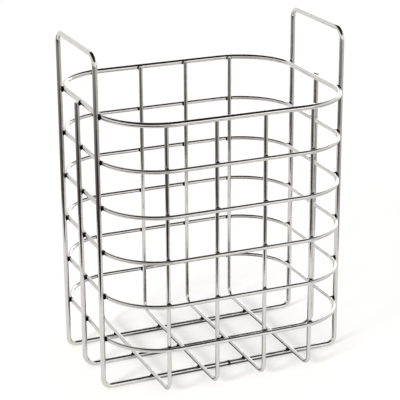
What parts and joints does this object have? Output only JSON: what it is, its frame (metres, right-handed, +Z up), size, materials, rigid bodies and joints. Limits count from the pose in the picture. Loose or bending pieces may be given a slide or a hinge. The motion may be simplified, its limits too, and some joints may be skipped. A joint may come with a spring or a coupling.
{
  "type": "sous vide basket",
  "caption": "Open-topped welded wire basket with rounded hoops, floor bars on runners and a fixed loop handle at each end, for holding food pouches in a water bath.",
  "frame": {"origin": "on the table, under the middle of the basket, midway along the mid runner", "axes": "+X along the basket's length from handle to handle, +Y across its width, +Z up out of its open top"},
  "size_m": [0.2606, 0.211, 0.3385],
  "materials": {
    "stainless_wire": "bright polished stainless wire with small dark heat marks at the spot welds"
  },
  "bodies": {
    "root": {"side_hoop_1": "stainless_wire", "side_hoop_2": "stainless_wire", "side_hoop_3": "stainless_wire", "side_hoop_4": "stainless_wire", "side_hoop_5": "stainless_wire", "rim_hoop": "stainless_wire", "handle_frame": "stainless_wire", "mid_runner": "stainless_wire", "cross_stay_1": "stainless_wire", "cross_stay_2": "stainless_wire", "cross_stay_3": "stainless_wire", "cross_stay_4": "stainless_wire"}
  },
  "joints": []
}
